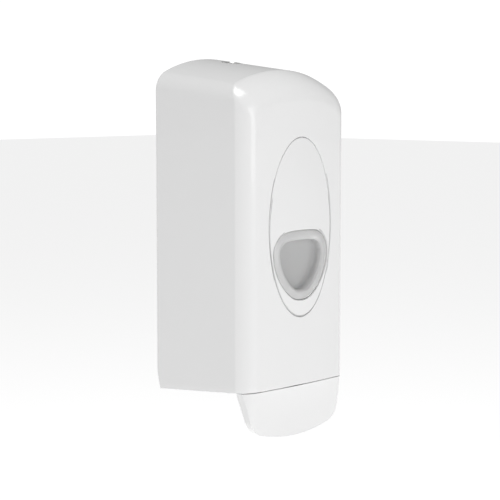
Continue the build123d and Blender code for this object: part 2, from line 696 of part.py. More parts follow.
with BuildPart() as inlet_valve:
    add(tube_z(5.2, None, PUMP_TOP_Z - 2.6, PUMP_TOP_Z - 1.65))
    add(tube_z(1.25, None, PUMP_TOP_Z - 2, PUMP_TOP_Z + 0.6))
    add(tube_z(1.9, None, PUMP_TOP_Z + 0.05, PUMP_TOP_Z + 1.6))

with BuildPart() as collar_nut:
    nut_low = flange_z - 4.4
    add(tube_z(NUT_R, NECK_R + 0.1, nut_low, RES_LOW - 2.2))
    add(tube_z(NUT_R, SKIRT_R + 0.3, nut_low, flange_z - 2.25))
    with BuildSketch(Plane.XY.offset(nut_low)):
        with Locations((0, PUMP_Y)):
            with PolarLocations(NUT_R, 20):
                Rectangle(1.2, 2.2)
    extrude(amount=12, mode=Mode.SUBTRACT)

with BuildPart() as pump_spring:
    spring_low = COLLAR_Z + COLLAR_T + SPRING_WIRE_R + 0.05
    spring_high = SPRING_TOP_Z - SPRING_WIRE_R - 0.05
    pitch = (spring_high - spring_low) / SPRING_TURNS
    with BuildLine() as coil:
        Helix(pitch, spring_high - spring_low, SPRING_R - SPRING_WIRE_R, center=(0, PUMP_Y, spring_low))
    with BuildSketch(Plane(origin=coil.line @ 0, z_dir=coil.line % 0)):
        Circle(SPRING_WIRE_R)
    sweep(is_frenet=True)

# ---------------------------------------------------------------- piston body
with BuildPart() as nozzle_stem:
    add(tube_z(STEM_R, None, COLLAR_Z, STEM_TOP_Z))
    add(tube_z(BORE_R - 0.4, None, STEM_TOP_Z - 1, STEM_TOP_Z))
    add(tube_z(BORE_R - 0.4, None, STEM_TOP_Z - 5, STEM_TOP_Z - 4))
    add(tube_z(COLLAR_R, None, COLLAR_Z, COLLAR_Z + COLLAR_T))
    add(tube_z(NOZZLE_R, None, NOZZLE_Z, COLLAR_Z + 1))
    chamfer(nozzle_stem.edges().filter_by(GeomType.CIRCLE).sort_by(Axis.Z)[0], 1.0)
    add(tube_z(STEM_BORE_R, None, NOZZLE_Z - 1, STEM_TOP_Z + 1), mode=Mode.SUBTRACT)
    add(tube_z(4.4, None, NOZZLE_Z - 1, NOZZLE_Z + 3), mode=Mode.SUBTRACT)

with BuildPart() as piston_seal:
    add(tube_z(BORE_R - SEAL_FIT, STEM_R + 0.02, STEM_TOP_Z - 3.9, STEM_TOP_Z - 1.1))

with BuildPart() as nozzle_valve:
    # rubber disc with a cross slit
    add(tube_z(4.35, None, NOZZLE_Z + 0.6, NOZZLE_Z + 2.95))
    with BuildSketch(Plane.XY.offset(NOZZLE_Z)):
        with Locations((0, PUMP_Y)):
            Rectangle(4.4, 0.3)
            Rectangle(0.3, 4.4)
    extrude(amount=2.2, mode=Mode.SUBTRACT)

nodes = {
    "front_cover": front_cover,
    "fascia_panel": fascia_panel,
    "sight_window": sight_window,
    "lever_bracket": lever_bracket,
    "bracket_screws": bracket_screws,
    "lever_pin": lever_pin,
    "pin_clips": pin_clips,
    "push_lever": push_lever,
    "lock_housing": lock_housing,
    "lock_nut": lock_nut,
    "lock_barrel": lock_barrel,
    "lock_cam": lock_cam,
    "cam_screw": cam_screw,
    "back_plate": back_plate,
    "hinge_pins": hinge_pins,
    "pump_shelf": pump_shelf,
    "shelf_screws": shelf_screws,
    "reservoir": reservoir,
    "lid_seal": lid_seal,
    "reservoir_lid": reservoir_lid,
    "outlet_gasket": outlet_gasket,
    "pump_body": pump_body,
    "inlet_valve": inlet_valve,
    "collar_nut": collar_nut,
    "pump_spring": pump_spring,
    "nozzle_stem": nozzle_stem,
    "piston_seal": piston_seal,
    "nozzle_valve": nozzle_valve,
}
for name, node in nodes.items():
    node.part.label = name
    export_step(node.part, f"parts/{name}.step")
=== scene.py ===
"""Looks of a wall mounted soap dispenser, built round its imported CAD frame.

The frame gives the places, bodies and joints. The classes below build the moulded shells as surfaces
worked out with numpy, dress every piece in a procedural finish, and light and frame the object.
All sizes are metres in the row frame: +Z up, the front faces -Y, and the wall is the plane Y = 0.
"""

import json
import logging
import math
from dataclasses import dataclass, field
from enum import Enum

import bmesh
import bpy
import numpy as np
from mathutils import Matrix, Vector


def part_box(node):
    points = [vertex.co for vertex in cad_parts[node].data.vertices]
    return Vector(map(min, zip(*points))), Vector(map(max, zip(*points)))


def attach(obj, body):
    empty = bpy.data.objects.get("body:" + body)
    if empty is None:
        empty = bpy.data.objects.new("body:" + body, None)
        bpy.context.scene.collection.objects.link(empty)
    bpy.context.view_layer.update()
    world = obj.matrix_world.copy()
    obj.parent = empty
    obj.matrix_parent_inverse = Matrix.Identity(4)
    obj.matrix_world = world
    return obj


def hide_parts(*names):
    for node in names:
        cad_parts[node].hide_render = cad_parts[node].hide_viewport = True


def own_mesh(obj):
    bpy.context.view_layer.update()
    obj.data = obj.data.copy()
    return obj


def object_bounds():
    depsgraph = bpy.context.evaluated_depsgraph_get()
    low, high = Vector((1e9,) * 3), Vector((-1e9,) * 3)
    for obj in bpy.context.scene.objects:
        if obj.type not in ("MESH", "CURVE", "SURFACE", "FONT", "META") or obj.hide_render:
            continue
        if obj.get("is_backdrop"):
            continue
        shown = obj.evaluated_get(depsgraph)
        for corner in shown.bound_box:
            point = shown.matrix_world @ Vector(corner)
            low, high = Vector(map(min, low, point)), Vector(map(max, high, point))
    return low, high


log = logging.getLogger("soap_dispenser")
MM = 0.001


# ------------------------------------------------------------------ mesh helpers
def grid_faces(rows: int, cols: int, close_cols: bool = False, close_rows: bool = False) -> np.ndarray:
    """Quads of a rows by cols grid of vertices numbered row by row.

    Args:
        rows: Number of vertex rows.
        cols: Number of vertices in a row.
        close_cols: Join the last column to the first.
        close_rows: Join the last row to the first.

    Returns:
        Array of vertex numbers, four to a face.
    """
    r = np.arange(rows if close_rows else rows - 1)
    c = np.arange(cols if close_cols else cols - 1)
    r, c = (a.ravel() for a in np.meshgrid(r, c, indexing="ij"))
    r2, c2 = (r + 1) % rows, (c + 1) % cols
    return np.stack([r * cols + c, r * cols + c2, r2 * cols + c2, r2 * cols + c], axis=1)


def smoothstep(low: float, high: float, x: np.ndarray) -> np.ndarray:
    """Cubic ease of x from 0 at low to 1 at high: 3 t^2 - 2 t^3 of the share t of the way."""
    t = np.clip((x - low) / (high - low), 0.0, 1.0)
    return t * t * (3 - 2 * t)


def closed_curve(points: list[tuple[float, float]], count: int) -> np.ndarray:
    """Smooth closed plane curve through a few points.

    A periodic Catmull-Rom spline passes through the points, and is then sampled at even arc length.

    Args:
        points: Points in order round the curve.
        count: Number of samples.

    Returns:
        Array of count by 2.
    """
    p = np.asarray(points, float)
    t = np.linspace(0, 1, 40, endpoint=False)[None, :, None]
    p0, p1, p2, p3 = (np.roll(p, k, axis=0)[:, None, :] for k in (1, 0, -1, -2))
    fine = 0.5 * (
        2 * p1 + (p2 - p0) * t + (2 * p0 - 5 * p1 + 4 * p2 - p3) * t**2 + (3 * p1 - p0 - 3 * p2 + p3) * t**3
    )
    fine = fine.reshape(-1, 2)
    ring = np.vstack([fine, fine[:1]])
    run = np.concatenate([[0], np.cumsum(np.linalg.norm(np.diff(ring, axis=0), axis=1))])
    want = np.linspace(0, run[-1], count, endpoint=False)
    return np.stack([np.interp(want, run, ring[:, k]) for k in (0, 1)], axis=1)


def inward_normals(loop: np.ndarray) -> np.ndarray:
    """Unit normals of a closed plane curve, turned towards its inside.

    Each is the chord between the two neighbours, turned a quarter.

    Args:
        loop: Points of the curve in order.

    Returns:
        One normal for each point.
    """
    tangent = np.roll(loop, -1, axis=0) - np.roll(loop, 1, axis=0)
    normal = np.stack([-tangent[:, 1], tangent[:, 0]], axis=1)
    normal /= np.linalg.norm(normal, axis=1, keepdims=True)
    inward = np.sum(normal * (loop.mean(axis=0) - loop)) > 0
    return normal if inward else -normal


def make_piece(
    name: str, verts: np.ndarray, faces: np.ndarray | list, merge: float = 1e-6
) -> bpy.types.Object:
    """Puts a computed surface into a mesh object at the origin, with doubles merged and faces outwards.

    Args:
        name: Name of the piece.
        verts: Vertices, in metres in the row frame.
        faces: Vertex numbers of each face.
        merge: Distance under which vertices become one.

    Returns:
        The new object.
    """
    mesh = bpy.data.meshes.new(name)
    mesh.from_pydata(verts.tolist(), [], [list(face) for face in faces])
    mesh.update()
    piece = bpy.data.objects.new(name, mesh)
    bpy.context.scene.collection.objects.link(piece)
    tidy_normals(mesh, merge)
    mesh.shade_smooth()
    return piece


def tidy_normals(mesh: bpy.types.Mesh, merge: float) -> None:
    """Merges doubles, drops faces with no area and turns the rest outwards.

    Args:
        mesh: The mesh to clean.
        merge: Distance under which vertices become one.
    """
    work = bmesh.new()
    work.from_mesh(mesh)
    bmesh.ops.remove_doubles(work, verts=work.verts, dist=merge)
    bmesh.ops.dissolve_degenerate(work, edges=work.edges, dist=merge)
    bmesh.ops.recalc_face_normals(work, faces=work.faces)
    work.to_mesh(mesh)
    work.free()


def thicken(piece: bpy.types.Object, wall: float) -> None:
    """Gives a skin its wall, inwards from the outer face.

    Args:
        piece: The skin.
        wall: Thickness of the wall.
    """
    solid = piece.modifiers.new("wall", "SOLIDIFY")
    solid.thickness = wall
    solid.offset = -1
    solid.use_even_offset = True
    solid.use_rim = True


def round_edges(piece: bpy.types.Object, width: float, angle: float = 40.0, segments: int = 3) -> None:
    """Rounds the edges that turn by more than an angle, as a mould's edges are.

    Args:
        piece: The piece.
        width: Width of the rounding.
        angle: Least turn of an edge that is rounded, in degrees.
        segments: Faces across the rounding.
    """
    bevel = piece.modifiers.new("edge_radius", "BEVEL")
    bevel.width = width
    bevel.segments = segments
    bevel.limit_method = "ANGLE"
    bevel.angle_limit = math.radians(angle)
    bevel.use_clamp_overlap = False
    bevel.harden_normals = False


# ------------------------------------------------------------------ node groups
def group_socket(
    group: bpy.types.NodeTree, name: str, kind: str, into: bool, value: float | None = None
) -> None:
    """Adds a named socket to a node group.

    Args:
        group: The node group.
        name: Socket name.
        kind: Socket type, such as NodeSocketFloat.
        into: True for an input, False for an output.
        value: Default of a float input.
    """
    socket = group.interface.new_socket(name=name, in_out="INPUT" if into else "OUTPUT", socket_type=kind)
    if value is not None:
        socket.default_value = value


class Groups:
    """Shader node groups that several finishes share."""

    def __init__(self) -> None:
        """Builds each group once."""
        self.moulded = self.build_moulded()
        self.soil_and_shade_group = self.build_soil_and_shade_group()

    def build_moulded(self) -> bpy.types.NodeTree:
        """Moulded skin: a slow flow mottle, a fine grain and a height that joins both.

        Returns:
            Group with outputs Shade, Roughness and Height.
        """
        group = bpy.data.node_groups.new("moulded_skin", "ShaderNodeTree")
        inputs = {"Flow Scale": 30.0, "Grain Scale": 1800.0, "Roughness": 0.3, "Spread": 0.05}
        for name, value in inputs.items():
            group_socket(group, name, "NodeSocketFloat", True, value)
        for name in ("Shade", "Roughness", "Height"):
            group_socket(group, name, "NodeSocketFloat", False)
        nodes, links = group.nodes, group.links
        inlet = nodes.new("NodeGroupInput")
        outlet = nodes.new("NodeGroupOutput")
        place = nodes.new("ShaderNodeTexCoord")
        flow = nodes.new("ShaderNodeTexNoise")
        flow.inputs["Detail"].default_value = 3.0
        grain = nodes.new("ShaderNodeTexNoise")
        grain.inputs["Detail"].default_value = 2.0
        for noise, scale in ((flow, "Flow Scale"), (grain, "Grain Scale")):
            links.new(place.outputs["Object"], noise.inputs["Vector"])
            links.new(inlet.outputs[scale], noise.inputs["Scale"])
        centred = self.math_node(nodes, "SUBTRACT", None, 0.5)
        links.new(flow.outputs["Fac"], centred.inputs[0])
        spread = self.math_node(nodes, "MULTIPLY")
        links.new(centred.outputs[0], spread.inputs[0])
        links.new(inlet.outputs["Spread"], spread.inputs[1])
        rough = self.math_node(nodes, "ADD")
        links.new(inlet.outputs["Roughness"], rough.inputs[0])
        links.new(spread.outputs[0], rough.inputs[1])
        fine = self.math_node(nodes, "MULTIPLY", None, 0.35)
        links.new(grain.outputs["Fac"], fine.inputs[0])
        height = self.math_node(nodes, "ADD")
        links.new(flow.outputs["Fac"], height.inputs[0])
        links.new(fine.outputs[0], height.inputs[1])
        links.new(flow.outputs["Fac"], outlet.inputs["Shade"])
        links.new(rough.outputs[0], outlet.inputs["Roughness"])
        links.new(height.outputs[0], outlet.inputs["Height"])
        return group

    def build_soil_and_shade_group(self) -> bpy.types.NodeTree:
        """Soil and painted shade in creases: low pointiness broken up by a noise darkens creases, as dirt does and
        as shade would.

        Returns:
            Group with an output of soil and painted shade, from 0 on open faces to Strength in creases.
        """
        group = bpy.data.node_groups.new("crease_soil_and_painted_shade", "ShaderNodeTree")
        for name, value in (("Scale", 90.0), ("Strength", 0.3)):
            group_socket(group, name, "NodeSocketFloat", True, value)
        group_socket(group, "Soil And Shade", "NodeSocketFloat", False)
        nodes, links = group.nodes, group.links
        inlet = nodes.new("NodeGroupInput")
        outlet = nodes.new("NodeGroupOutput")
        place = nodes.new("ShaderNodeTexCoord")
        shape = nodes.new("ShaderNodeNewGeometry")
        noise = nodes.new("ShaderNodeTexNoise")
        links.new(place.outputs["Object"], noise.inputs["Vector"])
        links.new(inlet.outputs["Scale"], noise.inputs["Scale"])
        # Low pointiness marks creases, which are darkened as soil and as painted shade.
        crease = nodes.new("ShaderNodeMapRange")
        crease.inputs["From Min"].default_value = 0.49
        crease.inputs["From Max"].default_value = 0.42
        links.new(shape.outputs["Pointiness"], crease.inputs["Value"])
        broken = self.math_node(nodes, "MULTIPLY")
        links.new(crease.outputs["Result"], broken.inputs[0])
        links.new(noise.outputs["Fac"], broken.inputs[1])
        scaled = self.math_node(nodes, "MULTIPLY")
        links.new(broken.outputs[0], scaled.inputs[0])
        links.new(inlet.outputs["Strength"], scaled.inputs[1])
        links.new(scaled.outputs[0], outlet.inputs["Soil And Shade"])
        return group

    @staticmethod
    def math_node(nodes: bpy.types.Nodes, kind: str, *values: float | None) -> bpy.types.Node:
        """Adds a Math node.

        Args:
            nodes: Nodes of the tree.
            kind: Its operation.
            values: Constants in order, with None for a linked socket.

        Returns:
            The node.
        """
        node = nodes.new("ShaderNodeMath")
        node.operation = kind
        for k, value in enumerate(values):
            if value is not None:
                node.inputs[k].default_value = value
        return node


# ------------------------------------------------------------------ finishes
class Family(Enum):
    """Kinds of material that a finish can be."""

    PLASTIC = "plastic"
    METAL = "metal"
    CLEAR = "clear"
    MILKY = "milky"
    RUBBER = "rubber"


@dataclass(frozen=True)
class Finish:
    """One material and how it is made.

    Attributes:
        name: Name of the material.
        family: Kind of material.
        colour: Linear base colour.
        shade: How far the mottle darkens the colour.
        roughness: Mean roughness.
        spread: Swing of roughness over the surface.
        flow: Scale of the slow mottle.
        grain: Scale of the fine grain.
        bump: Depth of the skin's relief, in metres.
        soil_and_shade: Strength of the darkening in creases, part soil and part painted shade.
        coat: Weight of a clear gloss skin.
        recess_shade_share: Share of the colour left where a clear part is smoked.
    """

    name: str
    family: Family
    colour: tuple[float, float, float]
    shade: float = 0.04
    roughness: float = 0.35
    spread: float = 0.06
    flow: float = 30.0
    grain: float = 1600.0
    bump: float = 0.00002
    soil_and_shade: float = 0.25
    coat: float = 0.0
    # recess_shade_share: Share of the colour left where a clear part's pane is darkened with painted shade.
    recess_shade_share: float = 0.8

    def build(self, groups: Groups) -> bpy.types.Material:
        """Makes the node tree of this finish.

        Args:
            groups: The shared node groups.

        Returns:
            The material.
        """
        material = bpy.data.materials.new(self.name)
        material.use_nodes = True
        nodes, links = material.node_tree.nodes, material.node_tree.links
        shader = nodes["Principled BSDF"]
        skin = nodes.new("ShaderNodeGroup")
        skin.node_tree = groups.moulded
        for socket, value in (
            ("Flow Scale", self.flow),
            ("Grain Scale", self.grain),
            ("Roughness", self.roughness),
            ("Spread", self.spread),
        ):
            skin.inputs[socket].default_value = value
        # Darkening in creases: part soil, part painted shade.
        soil_and_shade = nodes.new("ShaderNodeGroup")
        soil_and_shade.node_tree = groups.soil_and_shade_group
        soil_and_shade.inputs["Strength"].default_value = self.soil_and_shade
        mottle = self.mix(nodes, self.colour, tuple(c * (1 - self.shade) for c in self.colour))
        links.new(skin.outputs["Shade"], mottle.inputs["Factor"])
        # A dark copy of the colour is mixed in at creases, as soil and as painted shade.
        soiled_and_shaded = self.mix(nodes, None, tuple(c * 0.45 for c in self.colour))
        links.new(soil_and_shade.outputs["Soil And Shade"], soiled_and_shaded.inputs["Factor"])
        links.new(mottle.outputs["Result"], soiled_and_shaded.inputs["A"])
        links.new(soiled_and_shaded.outputs["Result"], shader.inputs["Base Color"])
        # Clear parts get painted shade on the pane, deep in their recess.
        if self.family is Family.CLEAR:
            self.recess_shade(material.node_tree, soiled_and_shaded, shader)
        links.new(skin.outputs["Roughness"], shader.inputs["Roughness"])
        bump = nodes.new("ShaderNodeBump")
        bump.inputs["Distance"].default_value = self.bump
        bump.inputs["Strength"].default_value = 1.0
        links.new(skin.outputs["Height"], bump.inputs["Height"])
        links.new(bump.outputs["Normal"], shader.inputs["Normal"])
        self.set_family(shader)
        return material

    @staticmethod
    def mix(nodes: bpy.types.Nodes, a: tuple | None, b: tuple | None) -> bpy.types.Node:
        """Adds a colour mix.

        Args:
            nodes: Nodes of the tree.
            a: Colour at factor 0, or None for a linked end.
            b: Colour at factor 1, or None for a linked end.

        Returns:
            The node.
        """
        node = nodes.new("ShaderNodeMix")
        node.data_type = "RGBA"
        for k, colour in (("A", a), ("B", b)):
            if colour is not None:
                socket = next(s for s in node.inputs if s.name == k and s.type == "RGBA")
                socket.default_value = (*colour, 1.0)
        return node

    def recess_shade(self, tree: bpy.types.NodeTree, tinted: bpy.types.Node, shader: bpy.types.Node) -> None:
        """Paints shade on a clear part: darkens its colour where the stored recess depth says that its pane is.

        Args:
            tree: The material's node tree.
            tinted: Mix node with the part's own colour.
            shader: The material's shader.
        """
        nodes, links = tree.nodes, tree.links
        depth = nodes.new("ShaderNodeAttribute")
        depth.attribute_name = "recess_shade"
        # Painted shade: a darker copy of the colour on the pane, deep in the recess.
        pane = self.mix(nodes, None, tuple(c * self.recess_shade_share for c in self.colour))
        links.new(depth.outputs["Fac"], pane.inputs["Factor"])
        links.new(tinted.outputs["Result"], pane.inputs["A"])
        links.new(pane.outputs["Result"], shader.inputs["Base Color"])

    def set_family(self, shader: bpy.types.Node) -> None:
        """Sets the plain sockets that make the shader a plastic, metal, rubber or clear part.

        Args:
            shader: The material's shader.
        """
        shader.inputs["IOR"].default_value = 1.49
        shader.inputs["Coat Weight"].default_value = self.coat
        if self.family is Family.METAL:
            shader.inputs["Metallic"].default_value = 1.0
        if self.family is Family.CLEAR:
            shader.inputs["Transmission Weight"].default_value = 0.5
        if self.family is Family.MILKY:
            shader.inputs["Subsurface Weight"].default_value = 0.35
            shader.inputs["Subsurface Scale"].default_value = 0.004
        if self.family is Family.RUBBER:
            shader.inputs["Specular IOR Level"].default_value = 0.3


FINISHES = {
    "white_abs": Finish(
        "white_abs_gloss", Family.PLASTIC, (0.86, 0.86, 0.86), 0.012, 0.24, 0.05, 26.0, 1500.0, 1e-5, 0.1,
        coat=0.25,
    ),
    # The clear pane's crease darkening is set strong, 0.6, to paint shade into the groove at the ring's inner
    # edge.
    "clear_pane": Finish(
        "clear_pane_recess_shaded", Family.CLEAR, (0.985, 0.985, 0.985), 0.02, 0.08, 0.04, 40.0, 900.0, 5e-6, 0.6
    ),
    "grey_plastic": Finish("grey_carrier_plastic", Family.PLASTIC, (0.34, 0.35, 0.36), 0.08, 0.48, 0.08),
    "steel": Finish(
        "zinc_plated_steel", Family.METAL, (0.58, 0.58, 0.56), 0.12, 0.34, 0.14, 120.0, 2600.0, 2e-5
    ),
    "spring_steel": Finish(
        "drawn_spring_wire", Family.METAL, (0.55, 0.55, 0.54), 0.1, 0.26, 0.1, 200.0, 3000.0, 1e-5
    ),
    "lock_metal": Finish(
        "nickel_plated_lock", Family.METAL, (0.74, 0.74, 0.73), 0.06, 0.3, 0.08, 90.0, 2400.0, 1e-5
    ),
    "back_white": Finish(
        "back_plate_plastic", Family.PLASTIC, (0.70, 0.70, 0.69), 0.04, 0.52, 0.08, 34.0, 900.0, 6e-5
    ),
    "translucent_pe": Finish(
        "milky_polyethylene", Family.MILKY, (0.62, 0.63, 0.63), 0.05, 0.42, 0.08, 22.0, 700.0, 4e-5
    ),
    "seal_rubber": Finish(
        "black_seal_rubber", Family.RUBBER, (0.022, 0.022, 0.024), 0.2, 0.62, 0.1, 80.0, 1400.0, 4e-5
    ),
    "lid_plastic": Finish("grey_closure_plastic", Family.PLASTIC, (0.26, 0.29, 0.33), 0.06, 0.38, 0.08),
    "pump_plastic": Finish(
        "natural_pump_plastic", Family.MILKY, (0.74, 0.74, 0.71), 0.04, 0.33, 0.06, 50.0, 1200.0, 2e-5
    ),
}


class Paintshop:
    """Makes each finish once and puts it on pieces."""

    def __init__(self) -> None:
        """Builds the shared groups."""
        self.groups = Groups()
        self.made: dict[str, bpy.types.Material] = {}

    def paint(self, piece: bpy.types.Object, slot: str) -> None:
        """Gives a piece the finish of a material slot of the record.

        Args:
            piece: The mesh object.
            slot: Name of the slot.
        """
        if slot not in self.made:
            self.made[slot] = FINISHES[slot].build(self.groups)
        piece.data.materials.clear()
        piece.data.materials.append(self.made[slot])


# ------------------------------------------------------------------ the form that cover and lever share
@dataclass
class HousingForm:
    """Outer form of the housing.

    Attributes:
        half: Half the width.
        front: Y of the foremost point of the front face.
        apex: Height of the crown at the back.
        rear: Y of the cover's rear edge.
        front_r: Plan radius of the front face.
        top_r: Radius of the crown.
        corner_r: Radius between the crown and the sides.
        top_slope: Fall of the crown towards the front.
        seam_z: Height of the seam at the front.
        seam_slope: Fall of the seam towards the wall.
        wall: Wall of the mouldings.
        side_round: Inset and depth of the rounding along the sides.
        top_round: Inset and depth of the rounding along the crown.
        crease: Angle at which the rounding starts, which leaves a soft crease.
    """

    half: float
    front: float
    apex: float
    rear: float = -0.5 * MM
    front_r: float = 450 * MM
    top_r: float = 118 * MM
    corner_r: float = 16 * MM
    top_slope: float = 0.118
    seam_z: float = -109 * MM
    seam_slope: float = 0.08
    wall: float = 2.5 * MM
    side_round: tuple[float, float] = (11 * MM, 11 * MM)
    top_round: tuple[float, float] = (20 * MM, 20 * MM)
    crease: float = math.radians(24)

    def front_y(self, x: np.ndarray) -> np.ndarray:
        """Y of the front face: an arc in plan."""
        return self.front + self.front_r - np.sqrt(self.front_r**2 - x**2)

    def seam(self, y: np.ndarray) -> np.ndarray:
        """Height of the seam plane at y."""
        return self.seam_z - self.seam_slope * (y - self.front)

    def rounding(self, count: int) -> tuple[np.ndarray, np.ndarray]:
        """Unit inset and unit depth along the rounding, from the crease to the front face.

        An ellipse's arc is cut off at the crease angle and stretched back to the full inset and
        depth, so it meets the side at a shallow angle and the front face smoothly.

        Args:
            count: Number of samples.

        Returns:
            Inset from 0 to 1 and depth from 1 to 0.
        """
        t = np.linspace(self.crease, math.pi / 2, count)
        inset = (math.cos(self.crease) - np.cos(t)) / math.cos(self.crease)
        depth = (1 - np.sin(t)) / (1 - math.sin(self.crease))
        return inset, depth

    def side_depth(self, inset: np.ndarray) -> np.ndarray:
        """Depth of the side rounding behind the front face, at an inset from the side."""
        a, b = self.side_round
        c = math.cos(self.crease)
        cos_t = np.clip(c * (1 - inset / a), 0.0, c)
        return b * (1 - np.sqrt(1 - cos_t**2)) / (1 - math.sin(self.crease))


@dataclass
class Oval:
    """Outline of the fascia opening."""

    a: float = 33.8 * MM
    b: float = 65.7 * MM
    z: float = 7.0 * MM

    def at(self, angle: np.ndarray, grow: float) -> tuple[np.ndarray, np.ndarray]:
        """X and Z of the ellipse at an angle parameter, grown by grow."""
        return (self.a + grow) * np.cos(angle), self.z + (self.b + grow) * np.sin(angle)


@dataclass
class Cover:
    """Hinged front cover: a moulded shell with an oval opening."""

    form: HousingForm
    oval: Oval
    gap: float = 0.25 * MM
    seat: float = 2.05 * MM
    ledge: float = 3.2 * MM
    heel_relief: float = 3.0 * MM
    heel_height: float = 12 * MM
    side_steps: int = 40
    corner_steps: int = 18
    crown_steps: int = 48
    bottom_steps: int = 60
    inner_corner_r: float = 11 * MM
    inner_flatter: float = 8 * MM
    lock_y: float = -24 * MM
    lock_bores: tuple[float, float] = (7.72 * MM, 6.1 * MM)
    lock_sink: float = 1.0 * MM
    lock_reach: float = 10.5 * MM
    hinge: tuple[float, float] = (-12 * MM, -108 * MM)
    hinge_boss_r: float = 4.5 * MM
    hinge_boss_h: float = 3.2 * MM
    pin_hole: tuple[float, float] = (1.56 * MM, 0.4 * MM)
    carrier: tuple[float, float] = (22 * MM, -87 * MM)
    carrier_width: float = 0.88
    carrier_length: float = 1.38
    boss_steps: int = 40

    def outline(self, half: float, apex: float, top_r: float, corner_r: float) -> dict[str, np.ndarray]:
        """Front view of the sides and crown, from the lower left round to the lower right.

        Each side is a straight run, each shoulder an arc that touches the side and the crown's arc.

        Args:
            half: Half the width.
            apex: Height of the crown.
            top_r: Radius of the crown.
            corner_r: Radius of the shoulders.

        Returns:
            Arrays x, z, rise (share of the side's height, 1 above it) and crown (0 on the sides, 1 on
            the crown).
        """
        cx = half - corner_r
        centre_z = apex - top_r
        cz = centre_z + math.sqrt((top_r - corner_r) ** 2 - cx**2)
        tilt = math.atan2(cx, cz - centre_z)
        rise = np.linspace(0, 1, self.side_steps, endpoint=False)
        corner = np.linspace(math.pi / 2, tilt, self.corner_steps, endpoint=False)
        crown = np.linspace(tilt, 0, self.crown_steps // 2 + 1)
        x = np.concatenate([np.full(rise.size, half), cx + corner_r * np.sin(corner), top_r * np.sin(crown)])
        z = np.concatenate(
            [np.full(rise.size, cz), cz + corner_r * np.cos(corner), centre_z + top_r * np.cos(crown)]
        )
        lean = np.concatenate([np.full(rise.size, math.pi / 2), corner, crown])
        share = np.concatenate([rise, np.ones(corner.size + crown.size)])
        top = 1 - smoothstep(tilt * 0.8, math.pi / 2, lean)
        return {
            key: np.concatenate([sign * left, left[-2::-1]])
            for key, left, sign in (("x", x, -1), ("z", z, 1), ("rise", share, 1), ("crown", top, 1))
        }

    def place(self, share: float, y: np.ndarray) -> np.ndarray:
        """Points between the outer outline and the outline of the flat of the front.

        Above the shoulders the outline falls with the crown's slope; along the sides the height
        is shared out between the seam and the shoulder.

        Args:
            share: 0 on the outer outline, 1 on the inner one.
            y: Depth at each point of the outline.

        Returns:
            Array of points.
        """
        f = self.form
        x, z = (self.outer[k] + (self.inner[k] - self.outer[k]) * share for k in ("x", "z"))
        high = z + f.top_slope * (y - f.rear)
        low = f.seam(y)
        rise = self.outer["rise"]
        return np.stack([x, y, np.where(rise < 1, low + rise * (high - low), high)], axis=1)

    def skin(self) -> tuple[np.ndarray, np.ndarray]:
        """Outer skin: strip round the sides and crown, its rounding, the front face and the oval's ledge.

        Returns:
            Vertices and quads.
        """
        f = self.form
        self.outer = self.outline(f.half, f.apex, f.top_r, f.corner_r)
        side, top = f.side_round[0], f.top_round[0]
        self.inner = self.outline(
            f.half - side, f.apex - top, f.top_r - self.inner_flatter, self.inner_corner_r
        )
        crown = self.outer["crown"]
        b = f.side_round[1] + (f.top_round[1] - f.side_round[1]) * crown
        start = f.front_y(self.outer["x"]) + b
        height = self.place(0, np.full(crown.size, f.rear))[:, 2]
        heel = f.seam(np.array(f.rear)) + self.heel_height
        back = f.rear - self.heel_relief * np.clip((heel - height) / self.heel_height, 0, 1)
        rows = [
            self.place(0, back + (start - back) * share)
            for share in np.concatenate([[0, 0.025], np.linspace(0.08, 0.92, 27), [0.97, 0.985]])
        ]
        for inset, deep in zip(*f.rounding(18)):
            x = self.outer["x"] + (self.inner["x"] - self.outer["x"]) * inset
            rows.append(self.place(inset, f.front_y(x) + b * deep))
        strip = np.stack(rows)
        kept, seat, seat_faces = self.lock_seat(strip)
        strip_faces = grid_faces(strip.shape[0], strip.shape[1])[kept]

        edge = strip[-1]
        x = np.linspace(edge[-1, 0], edge[0, 0], self.bottom_steps + 2)[1:-1]
        bottom = np.stack([x, f.front_y(x), f.seam(f.front_y(x))], axis=1)
        loop = np.vstack([edge, bottom])
        angle = np.arctan2((loop[:, 2] - self.oval.z) / self.oval.b, loop[:, 0] / self.oval.a)
        ox, oz = self.oval.at(angle, self.gap)
        plate = []
        for share in np.concatenate([[0, 0.03], np.linspace(0.1, 0.94, 14), [0.985, 1]]):
            px, pz = loop[:, 0] + (ox - loop[:, 0]) * share, loop[:, 2] + (oz - loop[:, 2]) * share
            plate.append(np.stack([px, f.front_y(px), pz], axis=1))
        for grow, deep in ((self.gap, self.seat), (-self.ledge, self.seat)):
            px, pz = self.oval.at(angle, grow)
            plate.append(np.stack([px, f.front_y(px) + deep, pz], axis=1))
        plate_faces = grid_faces(len(plate), loop.shape[0], close_cols=True)
        verts = np.vstack([strip.reshape(-1, 3), seat, np.vstack(plate)])
        plate_faces += strip.shape[0] * strip.shape[1] + len(seat)
        used, faces = np.unique(np.vstack([strip_faces, seat_faces, plate_faces]), return_inverse=True)
        return verts[used], faces.reshape(-1, 4)

    def lock_frame(self) -> tuple[np.ndarray, np.ndarray]:
        """Place of the lock on the crown, square to the crown's slope.

        Returns:
            Its centre, and its axes as rows: across, along the crown and out of it.
        """
        f = self.form
        long = math.hypot(1, f.top_slope)
        c, s = 1 / long, f.top_slope / long
        centre = np.array([0, self.lock_y, f.apex + f.top_slope * (self.lock_y - f.rear)])
        return centre, np.array([[1, 0, 0], [0, c, s], [0, -s, c]])

